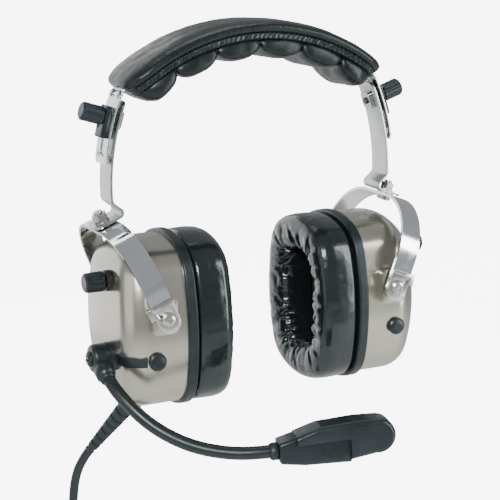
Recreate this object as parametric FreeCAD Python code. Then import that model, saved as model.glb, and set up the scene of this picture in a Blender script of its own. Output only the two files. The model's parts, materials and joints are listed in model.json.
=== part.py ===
import FreeCAD, Part
import math
import os

V = FreeCAD.Vector
os.makedirs("parts", exist_ok=True)

# Aviation headset, in millimetres.
# +X is the wearer's left ear, -Y the way the wearer faces, +Z up.
# The origin is the middle of the head pad's underside, where the headset rests on the head.
# Everything beside the head is drawn once, on the +X side, and mirrored to -X.

# headband: a flat spring of three tangent arcs, given at its middle surface
BAND_WIDTH = 18.0
BAND_THICK = 1.0
BAND_TOP_Z = 18.1
TOP_R = 120.0
SHOULDER_R = 32.0
LEG_R = 131.5
LEG_REACH = 91.5
JOIN_ANGLE = 22.5
LEG_END_ANGLE = 7.0

# head pad
PAD_END_ANGLE = 54.0
PAD_TOP_THICK = 4.8
PAD_CUSHION_THICK = 17.5
PAD_WIDTH = 47.0
PAD_GAP = 0.1
PAD_CORNER_R = 15.0
CUSHION_END_ANGLE = 47.0
RIVET_ANGLE = 30.0

# height adjustment: an arm that follows the leg, and a knob that clamps it through a slot
ARM_R = 128.0
ARM_THICK = 1.4
ARM_TOP_ANGLE = 23.3
ARM_BOTTOM_ANGLE = -1.6
CLAMP_ANGLE = 18.3
TRAVEL_ANGLE = 8.0
SCREW_R = 2.0
SLOT_HALF_WIDTH = 2.2
RUN_GAP = 0.05
FOOT_BEND_R = 4.0
FOOT_RUN = 4.6
HOOK_BEND_R = 2.6
FOOT_TAB = 15.5
FOOT_HOLE = 8.6
YOKE_LEAN = 22.0

# yoke
YOKE_WIDTH = 13.0
YOKE_THICK = 1.8
YOKE_HALF_SPAN = 46.0
YOKE_CORNER_R = 33.0
YOKE_DROP = 49.5
YOKE_TAIL = 7.0
BOLT_R = 2.5

# ear cup outline: an oval of eight tangent arcs in the plane of the head's side
CUP_HALF_WIDTH = 40.0
CUP_HALF_HEIGHT = 50.0
CUP_SIDE_R = 110.0
CUP_END_R = 60.0
CUP_CORNER_R = 23.0

# ear cup parts, measured outward from the mouth of the shell
PIVOT_OUT = 15.0
PIVOT_UP = 11.0
DOME_DEPTH = 38.0
DOME_INSET = 1.0
DOME_CROWN_R = 200.0
DOME_FILLET = 15.0
DOME_WALL = 2.4
FLANGE_THICK = 6.0
FLANGE_LIP = 3.0
NECK_LENGTH = 1.4
SEAL_DEPTH = 30.0
SEAL_RING = 22.0
SEAL_EDGE_R = 7.0

# controls on the shell
VOLUME_Y = -12.0
VOLUME_Z = 28.0
POT_SETBACK = 6.4
PLUG_X = 19.0
PLUG_Z = -15.0
MIC_EDGE_R = 2.0
BOOM_Y = -15.0
BOOM_Z = -15.0
BOOM_R = 3.7
BOOM_DIP = 27.0

# lead: relief, main lead, hank of turns, junction and two branches
LEAD_R = 2.75
BRANCH_R = 2.0
COIL_CENTRE = V(-75.5, 36.0, -315.0)
COIL_R = 30.0
COIL_BUNDLE_R = 8.3
LEAD_ROUTE = [
    (-97.0, 25.0, -228.0),
    (-101.0, 30.4, -236.2),
    (-104.4, 34.6, -249.0),
    (-105.9, 36.4, -267.0),
    (-105.3, 36.2, -290.0),
    (-105.5, 36.0, -312.0),
]
TAIL_ROUTE = [
    (-105.5, 36.0, -321.0),
    (-105.9, 35.8, -336.0),
    (-105.2, 36.3, -351.0),
    (-105.5, 36.0, -365.0),
]
BRANCH_ROUTES = {
    "headphone": [
        (-109.6, 36.0, -390.0),
        (-111.6, 36.3, -403.0),
        (-115.6, 36.0, -420.0),
        (-117.6, 35.6, -435.0),
        (-117.9, 35.8, -448.0),
    ],
    "microphone": [
        (-101.4, 36.0, -390.0),
        (-99.6, 35.8, -402.0),
        (-96.2, 36.2, -417.0),
        (-94.4, 36.4, -432.0),
        (-94.2, 36.0, -445.0),
    ],
}


def turn(angle):
    """Unit vector in the XZ plane at an angle above +X."""
    a = math.radians(angle)
    return V(math.cos(a), 0.0, math.sin(a))


def flat_path_point(point, heading, move, side):
    """One side of a flat strip's path along one move: its edge, and the strip's next point and heading."""
    kind, size, bend = move
    normal = turn(heading + 90.0)
    if kind == "line":
        end = point + turn(heading) * size
        edge = Part.makeLine(point + normal * side, end + normal * side)
        return edge, end, heading
    sign = 1.0 if bend > 0 else -1.0
    centre = point + normal * (sign * size)
    radius = size - sign * side
    places = []
    for share in (0.0, 0.5, 1.0):
        places.append(centre - turn(heading + bend * share + 90.0) * (sign * radius))
    edge = Part.Arc(places[0], places[1], places[2]).toShape()
    new_heading = heading + bend
    end = centre - turn(new_heading + 90.0) * (sign * size)
    return edge, end, new_heading


def strip(start, heading, moves, thick, width):
    """Flat strip bent along lines and arcs in the XZ plane, centred on its middle surface and on Y = 0."""
    outlines = []
    for side in (thick / 2.0, -thick / 2.0):
        point = start
        angle = heading
        edges = []
        for move in moves:
            edge, point, angle = flat_path_point(point, angle, move, side)
            edges.append(edge)
        outlines.append(edges)
    left = outlines[0]
    right = outlines[1]
    ends = [
        Part.makeLine(left[0].firstVertex().Point, right[0].firstVertex().Point),
        Part.makeLine(left[-1].lastVertex().Point, right[-1].lastVertex().Point),
    ]
    wire = Part.Wire(Part.__sortEdges__(left + right + ends))
    face = Part.Face(wire)
    face.translate(V(0.0, -width / 2.0, 0.0))
    return face.extrude(V(0.0, width, 0.0))


def strip_end(start, heading, moves):
    """Middle point and heading at the far end of a strip's path."""
    point = start
    for move in moves:
        _, point, heading = flat_path_point(point, heading, move, 0.0)
    return point, heading


def cylinder(radius, start, end):
    """Cylinder between two points."""
    axis = end - start
    return Part.makeCylinder(radius, axis.Length, start, axis)


def turned(profile, origin, axis):
    """Solid turned from (along, radius) pairs about an axis through origin."""
    points = [V(radius, 0.0, along) for along, radius in profile]
    if profile[0][1] > 0.0:
        points.insert(0, V(0.0, 0.0, profile[0][0]))
    if profile[-1][1] > 0.0:
        points.append(V(0.0, 0.0, profile[-1][0]))
    points.append(points[0])
    solid = Part.Face(Part.makePolygon(points)).revolve(V(0, 0, 0), V(0, 0, 1), 360.0)
    solid.Placement = FreeCAD.Placement(origin, FreeCAD.Rotation(V(0, 0, 1), axis))
    return solid


def box(x0, x1, y0, y1, z0, z1):
    return Part.makeBox(x1 - x0, y1 - y0, z1 - z0, V(x0, y0, z0))


def fillet_where(shape, radius, wanted):
    """Shape with the edges that a test picks rounded."""
    edges = [edge for edge in shape.Edges if wanted(edge)]
    return shape.makeFillet(radius, edges)


def fluted(knob, radius, start, axis, flutes, flute_r):
    """Knob with evenly spaced finger flutes along its axis."""
    side = axis.cross(V(0, 1, 0))
    side.normalize()
    for index in range(flutes):
        spin = FreeCAD.Rotation(axis, 360.0 * index / flutes)
        foot = start + spin.multVec(side) * radius
        knob = knob.cut(cylinder(flute_r, foot, foot + axis * 30.0))
    return knob


# ---------------------------------------------------------------- headband and head pad

shoulder_x = LEG_REACH - LEG_R + (LEG_R - SHOULDER_R) * math.cos(math.radians(JOIN_ANGLE))
top_centre_z = BAND_TOP_Z - TOP_R
shoulder_z = top_centre_z + math.sqrt((TOP_R - SHOULDER_R) ** 2 - shoulder_x**2)
leg_centre = V(
    LEG_REACH - LEG_R,
    0.0,
    shoulder_z - (LEG_R - SHOULDER_R) * math.sin(math.radians(JOIN_ANGLE)),
)
top_half_angle = math.degrees(math.atan2(shoulder_x, shoulder_z - top_centre_z))
shoulder_turn = 90.0 - JOIN_ANGLE - top_half_angle


def on_leg(shape, angle):
    """Turns a shape drawn along +X from the leg's centre up to its angle on the leg."""
    copy = shape.copy()
    copy.Placement = FreeCAD.Placement(leg_centre, FreeCAD.Rotation(V(0, 1, 0), -angle)).multiply(copy.Placement)
    return copy


def on_shoulder(shape, angle):
    """Turns a shape drawn along +X from the shoulder's centre up to its angle on the shoulder."""
    centre = V(shoulder_x, 0.0, shoulder_z)
    copy = shape.copy()
    copy.Placement = FreeCAD.Placement(centre, FreeCAD.Rotation(V(0, 1, 0), -angle)).multiply(copy.Placement)
    return copy


def leg_sector(inner_r, outer_r, low_angle, high_angle, width):
    """Curved block that follows the leg between two radii and two angles."""
    middle = (inner_r + outer_r) / 2.0
    start = leg_centre + turn(high_angle) * middle
    moves = [("arc", middle, low_angle - high_angle)]
    return strip(start, high_angle - 90.0, moves, outer_r - inner_r, width)


def band_moves(end_angle, offset):
    """Path over the top between two points of the shoulders, at an offset outside the band."""
    shoulder_share = end_angle - top_half_angle
    return [
        ("arc", SHOULDER_R + offset, -shoulder_share),
        ("arc", TOP_R + offset, -2.0 * top_half_angle),
        ("arc", SHOULDER_R + offset, -shoulder_share),
    ]


def shoulder_start(end_angle, offset):
    """Point of the -X shoulder at an angle from the vertical, at an offset outside the band."""
    point = turn(90.0 + end_angle) * (SHOULDER_R + offset)
    return V(point.x - shoulder_x, 0.0, point.z + shoulder_z)


def make_headband():
    leg_turn = JOIN_ANGLE - LEG_END_ANGLE
    start = leg_centre + turn(LEG_END_ANGLE) * LEG_R
    start.x = -start.x
    moves = [
        ("arc", LEG_R, -leg_turn),
        ("arc", SHOULDER_R, -shoulder_turn),
        ("arc", TOP_R, -2.0 * top_half_angle),
        ("arc", SHOULDER_R, -shoulder_turn),
        ("arc", LEG_R, -leg_turn),
    ]
    return strip(start, 90.0 - LEG_END_ANGLE, moves, BAND_THICK, BAND_WIDTH)


def band_cuts():
    """Slot, rivet holes and corner cuts of the +X leg."""
    slot_top = CLAMP_ANGLE + 0.15
    slot_bottom = CLAMP_ANGLE - TRAVEL_ANGLE - 0.15
    slot = leg_sector(LEG_R - 3.0, LEG_R + 3.0, slot_bottom, slot_top, 2.0 * SLOT_HALF_WIDTH)
    cuts = [slot]
    for angle in (slot_top, slot_bottom):
        centre = leg_centre + turn(angle) * (LEG_R - 3.0)
        cuts.append(Part.makeCylinder(SLOT_HALF_WIDTH, 6.0, centre, turn(angle)))
    return cuts


def band_corner_cuts():
    """Rounds the free end of the +X leg."""
    half = BAND_WIDTH / 2.0
    blank = leg_sector(LEG_R - 3.0, LEG_R + 3.0, LEG_END_ANGLE - 1.0, LEG_END_ANGLE + 2.6, BAND_WIDTH + 2.0)
    middle = LEG_END_ANGLE + 2.6
    centre = leg_centre + turn(middle) * (LEG_R - 4.0)
    keep = Part.makeCylinder(half + 0.4, 8.0, centre, turn(middle))
    return blank.cut(keep)


def make_pad_top():
    offset = BAND_THICK / 2.0 + PAD_GAP + PAD_TOP_THICK / 2.0
    start = shoulder_start(PAD_END_ANGLE, offset)
    blank = strip(start, PAD_END_ANGLE, band_moves(PAD_END_ANGLE, offset), PAD_TOP_THICK, PAD_WIDTH)
    return blank.common(pad_plan(blank.BoundBox.XMax, PAD_WIDTH / 2.0))


def make_pad_cushion():
    offset = -(BAND_THICK / 2.0 + PAD_GAP + PAD_CUSHION_THICK / 2.0)
    start = shoulder_start(CUSHION_END_ANGLE, offset)
    width = PAD_WIDTH - 2.0
    blank = strip(start, CUSHION_END_ANGLE, band_moves(CUSHION_END_ANGLE, offset), PAD_CUSHION_THICK, width)
    return blank.common(pad_plan(blank.BoundBox.XMax, width / 2.0))


def pad_plan(half_length, half_width):
    """Upright prism with the pad's outline seen from above, its corners rounded."""
    prism = box(-half_length, half_length, -half_width, half_width, -80.0, 40.0)
    return fillet_where(prism, PAD_CORNER_R, lambda edge: abs(edge.tangentAt(edge.FirstParameter).z) > 0.9)


def make_pad_rivets():
    """Two rivets that hold the +X end of the pad's cover to the band."""
    rivets = []
    for y in (-5.5, 5.5):
        inner = V(SHOULDER_R - BAND_THICK / 2.0 - 0.62, y, 0.0)
        profile = [(0.0, 2.2), (0.5, 2.2), (0.5, 1.3), (1.75, 1.3), (1.75, 2.6), (2.3, 2.5), (2.9, 1.5)]
        rivets.append(on_shoulder(turned(profile, inner, V(1, 0, 0)), RIVET_ANGLE))
    return rivets


def make_pad_rivet_holes():
    holes = []
    for y in (-5.5, 5.5):
        hole = cylinder(1.3, V(SHOULDER_R - 2.0, y, 0.0), V(SHOULDER_R + 2.0, y, 0.0))
        holes.append(on_shoulder(hole, RIVET_ANGLE))
    return holes


# ---------------------------------------------------------------- adjustment arm and clamp

arm_start = leg_centre + turn(ARM_TOP_ANGLE) * ARM_R
arm_heading = ARM_TOP_ANGLE - 90.0
arm_sweep = ARM_BOTTOM_ANGLE - ARM_TOP_ANGLE
tab_heading = -YOKE_LEAN
arm_to_joggle = [("arc", ARM_R, arm_sweep), ("arc", FOOT_BEND_R, -50.0), ("line", FOOT_RUN, 0.0)]
_, joggle_heading = strip_end(arm_start, arm_heading, arm_to_joggle)
arm_moves = arm_to_joggle + [("arc", HOOK_BEND_R, tab_heading - joggle_heading), ("line", FOOT_TAB, 0.0)]
tab_start, _ = strip_end(arm_start, arm_heading, arm_moves[:-1])
foot_hole = tab_start + turn(tab_heading) * FOOT_HOLE
yoke_up = turn(90.0 - YOKE_LEAN)
WASHER_THICK = 0.6
crown_centre = foot_hole - yoke_up * (ARM_THICK / 2.0 + WASHER_THICK + YOKE_THICK / 2.0)
pivot_point = crown_centre - yoke_up * YOKE_DROP
cup_origin = pivot_point - V(PIVOT_OUT, 0.0, PIVOT_UP)


def make_slide_arm():
    arm = strip(arm_start, arm_heading, arm_moves, ARM_THICK, BAND_WIDTH)
    tab_end, _ = strip_end(arm_start, arm_heading, arm_moves)
    arm = fillet_where(arm, 5.0, lambda edge: edge.Length < ARM_THICK + 0.1 and near_point(edge, tab_end, 9.8))
    arm = fillet_where(arm, 4.0, lambda edge: edge.Length < ARM_THICK + 0.1 and near_point(edge, arm_start, 9.8))
    hole = on_leg(cylinder(SCREW_R + RUN_GAP, V(ARM_R - 3, 0, 0), V(ARM_R + 3, 0, 0)), CLAMP_ANGLE)
    bolt_hole = cylinder(BOLT_R + RUN_GAP, foot_hole - yoke_up * 3.0, foot_hole + yoke_up * 3.0)
    return arm.cut(hole).cut(bolt_hole)


def near_point(edge, point, reach):
    return edge.CenterOfMass.distanceToPoint(point) < reach


def make_clamp_parts():
    """Spacer, keeper, nut plate and knob, drawn for the +X leg with the screw on the clamp's radius."""
    arm_out = ARM_R + ARM_THICK / 2.0
    arm_in = ARM_R - ARM_THICK / 2.0
    band_in = LEG_R - BAND_THICK / 2.0
    band_out = LEG_R + BAND_THICK / 2.0
    bore = on_leg(cylinder(SCREW_R + RUN_GAP, V(ARM_R - 12, 0, 0), V(ARM_R + 12, 0, 0)), CLAMP_ANGLE)
    spacer = leg_sector(arm_out + 0.02, band_in - 0.1, CLAMP_ANGLE - 3.0, CLAMP_ANGLE + 3.0, 13.0).cut(bore)
    keeper = leg_sector(band_out + 0.1, band_out + 3.6, CLAMP_ANGLE - 5.0, CLAMP_ANGLE + 2.7, 10.0)
    seat = on_leg(cylinder(6.5, V(band_out + 3.1, 0, 0), V(band_out + 9.0, 0, 0)), CLAMP_ANGLE)
    keeper = keeper.cut(bore).cut(seat)
    plate = box(arm_in - 2.6, arm_in - 0.2, -5.0, 5.0, -5.0, 5.0)
    plate = fillet_where(plate, 2.0, lambda edge: abs(edge.tangentAt(edge.FirstParameter).x) > 0.9)
    plate = on_leg(plate, CLAMP_ANGLE).cut(bore)
    knob_start = band_out + 3.2
    stud = cylinder(SCREW_R, V(arm_in - 3.6, 0, 0), V(knob_start + 7.0, 0, 0))
    profile = [(0.0, 4.4), (1.0, 4.4), (1.0, 5.3), (12.2, 5.3), (13.2, 4.3)]
    knob = turned(profile, V(knob_start, 0, 0), V(1, 0, 0)).cut(stud)
    knob = fluted(knob, 5.75, V(knob_start + 2.2, 0, 0), V(1, 0, 0), 14, 0.85)
    group = [on_leg(knob, CLAMP_ANGLE), on_leg(stud, CLAMP_ANGLE)]
    return spacer, keeper, plate, group


# ---------------------------------------------------------------- yoke

def make_yoke():
    """Arch that holds the cup, drawn upright in XZ and then leaned and turned across the head."""
    leg_line = YOKE_DROP + YOKE_TAIL - YOKE_CORNER_R
    crown_line = 2.0 * (YOKE_HALF_SPAN - YOKE_CORNER_R)
    moves = [
        ("line", leg_line, 0.0),
        ("arc", YOKE_CORNER_R, -90.0),
        ("line", crown_line, 0.0),
        ("arc", YOKE_CORNER_R, -90.0),
        ("line", leg_line, 0.0),
    ]
    arch = strip(V(-YOKE_HALF_SPAN, 0.0, -YOKE_DROP - YOKE_TAIL), 90.0, moves, YOKE_THICK, YOKE_WIDTH)
    foot_z = -YOKE_DROP - YOKE_TAIL
    arch = fillet_where(arch, 5.5, lambda edge: edge.Length < YOKE_THICK + 0.1 and edge.CenterOfMass.z < foot_z + 0.1)
    bore = cylinder(2.0 + RUN_GAP, V(-60, 0, -YOKE_DROP), V(60, 0, -YOKE_DROP))
    arch = arch.cut(bore)
    arch = arch.cut(cylinder(BOLT_R + RUN_GAP, V(0, 0, -4), V(0, 0, 4)))
    return arch


def on_yoke(shape):
    """Places a shape drawn with X across the head, Z up the yoke and its origin at the crown."""
    across = yoke_up.cross(V(0, 1, 0))
    matrix = FreeCAD.Matrix(
        0.0, across.x, yoke_up.x, crown_centre.x,
        1.0, across.y, yoke_up.y, crown_centre.y,
        0.0, across.z, yoke_up.z, crown_centre.z,
        0.0, 0.0, 0.0, 1.0,
    )
    copy = shape.copy()
    copy.Placement = FreeCAD.Placement(matrix).multiply(copy.Placement)
    return copy


def make_yoke_bolt():
    """Bolt, washer between yoke and arm, and lock nut on top of the arm's tab."""
    tab_top = YOKE_THICK / 2.0 + WASHER_THICK + ARM_THICK
    head_z = -YOKE_THICK / 2.0 - RUN_GAP
    profile = [(-2.4, 2.0), (-1.9, 4.2), (0.0, 4.4), (0.0, BOLT_R), (tab_top + 6.2 - head_z, BOLT_R)]
    bolt = turned(profile, V(0, 0, head_z), V(0, 0, 1))
    ring = Part.makeCylinder(5.2, WASHER_THICK - 0.04, V(0, 0, YOKE_THICK / 2.0 + 0.02))
    ring = ring.cut(Part.makeCylinder(BOLT_R, 3.0, V(0, 0, 0)))
    corners = [V(4.3 * math.cos(math.radians(a)), 4.3 * math.sin(math.radians(a)), 0) for a in range(30, 420, 60)]
    nut = Part.Face(Part.makePolygon(corners)).extrude(V(0, 0, 4.2))
    nut.translate(V(0, 0, tab_top + 0.6))
    lower_ring = Part.makeCylinder(4.6, 0.56, V(0, 0, tab_top + 0.02))
    bore = Part.makeCylinder(BOLT_R, 12.0, V(0, 0, 0))
    return [bolt, ring, nut.cut(bore), lower_ring.cut(bore)]


def make_pivot_clips():
    """Stamped clip on the outside of each yoke leg, in the yoke's upright frame."""
    clips = []
    for sign in (-1.0, 1.0):
        outer = YOKE_HALF_SPAN + YOKE_THICK / 2.0
        plate = box(outer + 0.02, outer + 1.2, -6.4, 6.4, -YOKE_DROP - 8.5, -YOKE_DROP + 9.5)
        ear = box(outer + 0.02, outer + 1.2, -9.4, -6.2, -YOKE_DROP + 3.0, -YOKE_DROP + 9.5)
        plate = plate.fuse(ear).removeSplitter()
        low = -YOKE_DROP - 8.5
        plate = fillet_where(plate, 6.0, lambda edge: edge.Length < 1.3 and edge.CenterOfMass.z < low + 0.1)
        rim = box(outer + 1.1, outer + 2.6, -6.4, 6.4, -YOKE_DROP + 7.6, -YOKE_DROP + 9.5)
        plate = plate.fuse(rim).removeSplitter()
        plate = plate.cut(cylinder(2.0 + RUN_GAP, V(outer - 2, 0, -YOKE_DROP), V(outer + 4, 0, -YOKE_DROP)))
        if sign < 0:
            plate = plate.mirror(V(0, 0, 0), V(1, 0, 0))
        clips.append(plate)
    return clips


# ---------------------------------------------------------------- ear cup

def circle_crossing(first, first_r, second, second_r):
    """Crossing of two circles in the YZ plane, on the side with the larger Y and Z."""
    gap = second - first
    distance = gap.Length
    along = (distance**2 + first_r**2 - second_r**2) / (2.0 * distance)
    height = math.sqrt(first_r**2 - along**2)
    unit = gap / distance
    normal = V(0.0, -unit.z, unit.y)
    one = first + unit * along + normal * height
    other = first + unit * along - normal * height
    return one if one.y + one.z > other.y + other.z else other


side_centre = V(0.0, CUP_HALF_WIDTH - CUP_SIDE_R, 0.0)
end_centre = V(0.0, 0.0, CUP_HALF_HEIGHT - CUP_END_R)
corner_centre = circle_crossing(side_centre, CUP_SIDE_R - CUP_CORNER_R, end_centre, CUP_END_R - CUP_CORNER_R)


def away_from(centre, radius, target):
    """Point of a circle in the direction from its centre to a target."""
    direction = target - centre
    direction.normalize()
    return centre + direction * radius


def oval_wire(inset, x):
    """Closed oval in the plane at x, moved inward by the inset, from eight tangent arcs."""
    side_point = away_from(side_centre, CUP_SIDE_R - inset, corner_centre)
    end_point = away_from(end_centre, CUP_END_R - inset, corner_centre)
    corner_point = away_from(corner_centre, CUP_CORNER_R - inset, (side_point + end_point) * 0.62)

    def at(point, y_sign, z_sign):
        return V(x, point.y * y_sign, point.z * z_sign)

    side_tip = V(0.0, CUP_HALF_WIDTH - inset, 0.0)
    end_tip = V(0.0, 0.0, CUP_HALF_HEIGHT - inset)
    edges = []
    for y_sign in (1, -1):
        edges.append(Part.Arc(at(side_point, y_sign, -1), at(side_tip, y_sign, 1), at(side_point, y_sign, 1)))
        edges.append(Part.Arc(at(end_point, -1, y_sign), at(end_tip, 1, y_sign), at(end_point, 1, y_sign)))
        for z_sign in (1, -1):
            places = [at(point, y_sign, z_sign) for point in (side_point, corner_point, end_point)]
            edges.append(Part.Arc(places[0], places[1], places[2]))
    return Part.Wire(Part.__sortEdges__([edge.toShape() for edge in edges]))


def oval(inset, x0, x1):
    """Oval prism between two distances from the head's middle plane."""
    return Part.Face(oval_wire(inset, x0)).extrude(V(x1 - x0, 0.0, 0.0))


def dome_solid(grow):
    """Solid form of the ear shell, grown or shrunk evenly from its outer face."""
    body = oval(DOME_INSET - grow, 0.0, DOME_DEPTH + grow + 5.0)
    crown = Part.makeSphere(DOME_CROWN_R + grow, V(0, 0, 0), V(0, 1, 0))
    crown.translate(V(DOME_DEPTH - DOME_CROWN_R, 0.0, 0.0))
    body = body.common(crown)
    return fillet_where(body, DOME_FILLET + grow, lambda edge: edge.BoundBox.XMin > 15.0)


dome_outer = dome_solid(0.0)
volume_face_x = 36.2
boom_face_x = 37.4


def make_dome():
    shell = dome_outer.cut(dome_solid(-DOME_WALL))
    shell = shell.cut(cylinder(3.6, V(20, VOLUME_Y, VOLUME_Z), V(50, VOLUME_Y, VOLUME_Z)))
    return shell.cut(plug_bore())


def plug_bore():
    return cylinder(3.0, V(PLUG_X, -50.0, PLUG_Z), V(PLUG_X, -20.0, PLUG_Z))


def make_flange():
    """Black baffle moulding: rim, lip inside the shell, neck for the seal and web for the speaker."""
    rim = oval(-1.0, -FLANGE_THICK, 0.0)
    rim = fillet_where(rim, 1.2, lambda edge: edge.BoundBox.XLength < 0.01)
    neck = oval(4.0, -FLANGE_THICK - NECK_LENGTH, -FLANGE_THICK)
    opening = oval(10.0, -20.0, 20.0)
    lip = oval(DOME_INSET + DOME_WALL + 0.2, 0.0, FLANGE_LIP).cut(oval(7.0, -1.0, FLANGE_LIP + 1.0))
    web = oval(9.5, -2.6, -0.6)
    body = rim.fuse(neck).cut(opening).fuse(lip).fuse(web).removeSplitter()
    body = body.cut(cylinder(18.2, V(-10, 0, 0), V(10, 0, 0)))
    slots = [cylinder(1.5, V(-10, 0, z), V(10, 0, z)) for z in (-28.0, 28.0)]
    return body.cut(slots[0]).cut(slots[1])


def make_seal():
    """Ear seal: a soft oval ring with a rounded face."""
    back = -FLANGE_THICK - NECK_LENGTH
    ring = oval(0.0, -SEAL_DEPTH, back).cut(oval(SEAL_RING, -SEAL_DEPTH - 1.0, back + 1.0))
    ring = fillet_where(ring, SEAL_EDGE_R, lambda edge: edge.BoundBox.XMax < -SEAL_DEPTH + 0.1)
    return ring


def make_speaker():
    """Speaker: chassis behind the web, its rim, magnet and cone as one bought-in unit."""
    profile = [(-2.0, 18.0), (-0.5, 18.0), (-0.5, 20.5), (1.2, 20.5), (1.2, 17.0), (7.0, 13.5), (7.0, 11.5), (13.0, 11.0)]
    return turned(profile, V(0, 0, 0), V(1, 0, 0))


def make_filter_foam():
    return oval(10.6, -5.6, -2.8)


def make_liner():
    """Open-cell foam block that fills the shell behind the speaker."""
    block = oval(9.0, 15.0, 25.0)
    return block.cut(cylinder(9.5, V(10, VOLUME_Y, VOLUME_Z), V(40, VOLUME_Y, VOLUME_Z)))


def make_brackets():
    """Bracket on each side wall of the shell that carries the pivot screw."""
    brackets = []
    for sign in (-1.0, 1.0):
        y_in = 35.0
        y_out = 43.4
        block = box(PIVOT_OUT - 7.5, PIVOT_OUT + 7.5, y_in, y_out, PIVOT_UP - 10.0, PIVOT_UP + 10.0)
        block = fillet_where(block, 3.0, lambda edge: abs(edge.tangentAt(edge.FirstParameter).y) > 0.9)
        centre = V(PIVOT_OUT, y_in, PIVOT_UP)
        leg_face = YOKE_HALF_SPAN - YOKE_THICK / 2.0
        boss = cylinder(4.6, centre, V(PIVOT_OUT, leg_face - 0.1, PIVOT_UP))
        block = block.fuse(boss).removeSplitter()
        block = block.cut(dome_outer)
        block = block.cut(cylinder(2.0, centre, V(PIVOT_OUT, 60.0, PIVOT_UP)))
        if sign < 0:
            block = block.mirror(V(0, 0, 0), V(0, 1, 0))
        brackets.append(block)
    return brackets


def make_pivot_screws():
    """Cross-head shoulder screw through each pivot."""
    screws = []
    for sign in (-1.0, 1.0):
        start = V(PIVOT_OUT, 39.8 * sign, PIVOT_UP)
        head = YOKE_HALF_SPAN + YOKE_THICK / 2.0 + 1.25 - 39.8
        profile = [(0.0, 2.0), (head, 2.0), (head, 4.2), (head + 1.0, 4.1), (head + 1.8, 3.2), (head + 2.2, 1.6)]
        screw = turned(profile, start, V(0, sign, 0))
        face = 39.8 + head + 2.3
        for wide, tall in ((1.0, 4.6), (4.6, 1.0)):
            cross = Part.makeBox(wide, 1.2, tall, V(PIVOT_OUT - wide / 2.0, -0.6, PIVOT_UP - tall / 2.0))
            cross.translate(V(0, face * sign, 0))
            screw = screw.cut(cross)
        screws.append(screw)
    return screws


def make_volume_pot():
    """Volume control inside the shell, with its threaded bush and the nut outside."""
    inner_face = volume_face_x - POT_SETBACK
    centre = V(inner_face, VOLUME_Y, VOLUME_Z)
    profile = [(-8.5, 8.0), (0.0, 8.0), (0.0, 3.5), (POT_SETBACK + 2.9, 3.5)]
    pot = turned(profile, centre, V(1, 0, 0))
    nut = Part.makeCylinder(6.0, 3.0, V(volume_face_x - 0.6, VOLUME_Y, VOLUME_Z), V(1, 0, 0))
    nut = nut.cut(dome_outer).cut(pot)
    bore = cylinder(3.0 + RUN_GAP, V(inner_face - 1.0, VOLUME_Y, VOLUME_Z), V(60, VOLUME_Y, VOLUME_Z))
    return [pot.cut(bore), nut.cut(bore)]


def make_volume_knob():
    """Ribbed knob and its spindle."""
    start = volume_face_x + 3.2
    profile = [(0.0, 5.2), (0.8, 5.8), (10.4, 5.6), (11.4, 4.6)]
    knob = turned(profile, V(start, VOLUME_Y, VOLUME_Z), V(1, 0, 0))
    knob = fluted(knob, 6.2, V(start + 1.6, VOLUME_Y, VOLUME_Z), V(1, 0, 0), 18, 0.8)
    spindle = cylinder(3.0, V(volume_face_x - 3.6, VOLUME_Y, VOLUME_Z), V(start + 1.0, VOLUME_Y, VOLUME_Z))
    return knob.fuse(spindle).removeSplitter()


def make_plug():
    """Push-in blanking plug with a low domed head."""
    face = -(CUP_HALF_WIDTH - DOME_INSET) + 1.0
    profile = [(0.0, 2.4), (3.6, 3.0), (4.4, 3.0), (4.4, 5.1), (5.4, 5.1), (6.2, 4.2), (6.6, 2.2)]
    plug = turned(profile, V(PLUG_X, face + 3.4, PLUG_Z), V(0, -1, 0))
    return plug.cut(dome_outer.cut(plug_bore()))


# ---------------------------------------------------------------- boom and microphone

boom_centre = V(boom_face_x + 8.0, BOOM_Y, BOOM_Z)
dip = math.radians(BOOM_DIP)
boom_out = V(0.0, -math.cos(dip), -math.sin(dip))
mic_axis = V(-0.965, -0.235, 0.055)
mic_axis.normalize()
mic_start = V(-30.0, -88.0, -59.5)
BOOM_ROUTE = [
    boom_centre + boom_out * 8.4,
    boom_centre + boom_out * 20.8,
    V(39.5, -46.0, -35.0),
    V(28.5, -57.5, -47.0),
    V(12.5, -69.0, -56.0),
    V(-6.0, -79.0, -60.0),
    mic_start - mic_axis * 7.0,
    mic_start + mic_axis * 9.0,
]


def rounded_route(points):
    """Wire of straight runs joined by tangent arcs as large as the runs allow, with the arcs' radii."""
    edges = []
    radii = []
    last = points[0]
    for index in range(1, len(points) - 1):
        before = points[index - 1] - points[index]
        after = points[index + 1] - points[index]
        shorter = min(before.Length, after.Length)
        half_turn = (math.pi - before.getAngle(after)) / 2.0
        radius = 0.45 * shorter / math.tan(half_turn)
        before.normalize()
        after.normalize()
        arc_start = points[index] + before * (0.45 * shorter)
        arc_end = points[index] + after * (0.45 * shorter)
        to_centre = before + after
        to_centre.normalize()
        centre = points[index] + to_centre * (radius / math.cos(half_turn))
        middle = centre - to_centre * radius
        edges.append(Part.makeLine(last, arc_start))
        edges.append(Part.Arc(arc_start, middle, arc_end).toShape())
        radii.append(radius)
        last = arc_end
    edges.append(Part.makeLine(last, points[-1]))
    return Part.Wire(edges), radii


def tube(points, radius, name):
    """Round tube along a route; its radii, length and volume are printed."""
    wire, radii = rounded_route(points)
    direction = points[1] - points[0]
    circle = Part.Wire(Part.makeCircle(radius, points[0], direction))
    solid = wire.makePipeShell([circle], True, False)
    expected = math.pi * radius**2 * wire.Length
    print(name, "length", round(wire.Length, 1), "volume/expected", round(solid.Volume / expected, 4))
    print("  radii", [round(value, 1) for value in radii])
    return solid


def make_boom_base():
    base = Part.makeCylinder(8.4, 8.4, V(boom_face_x - 5.0, BOOM_Y, BOOM_Z), V(1, 0, 0))
    return base.cut(dome_outer)


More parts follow.
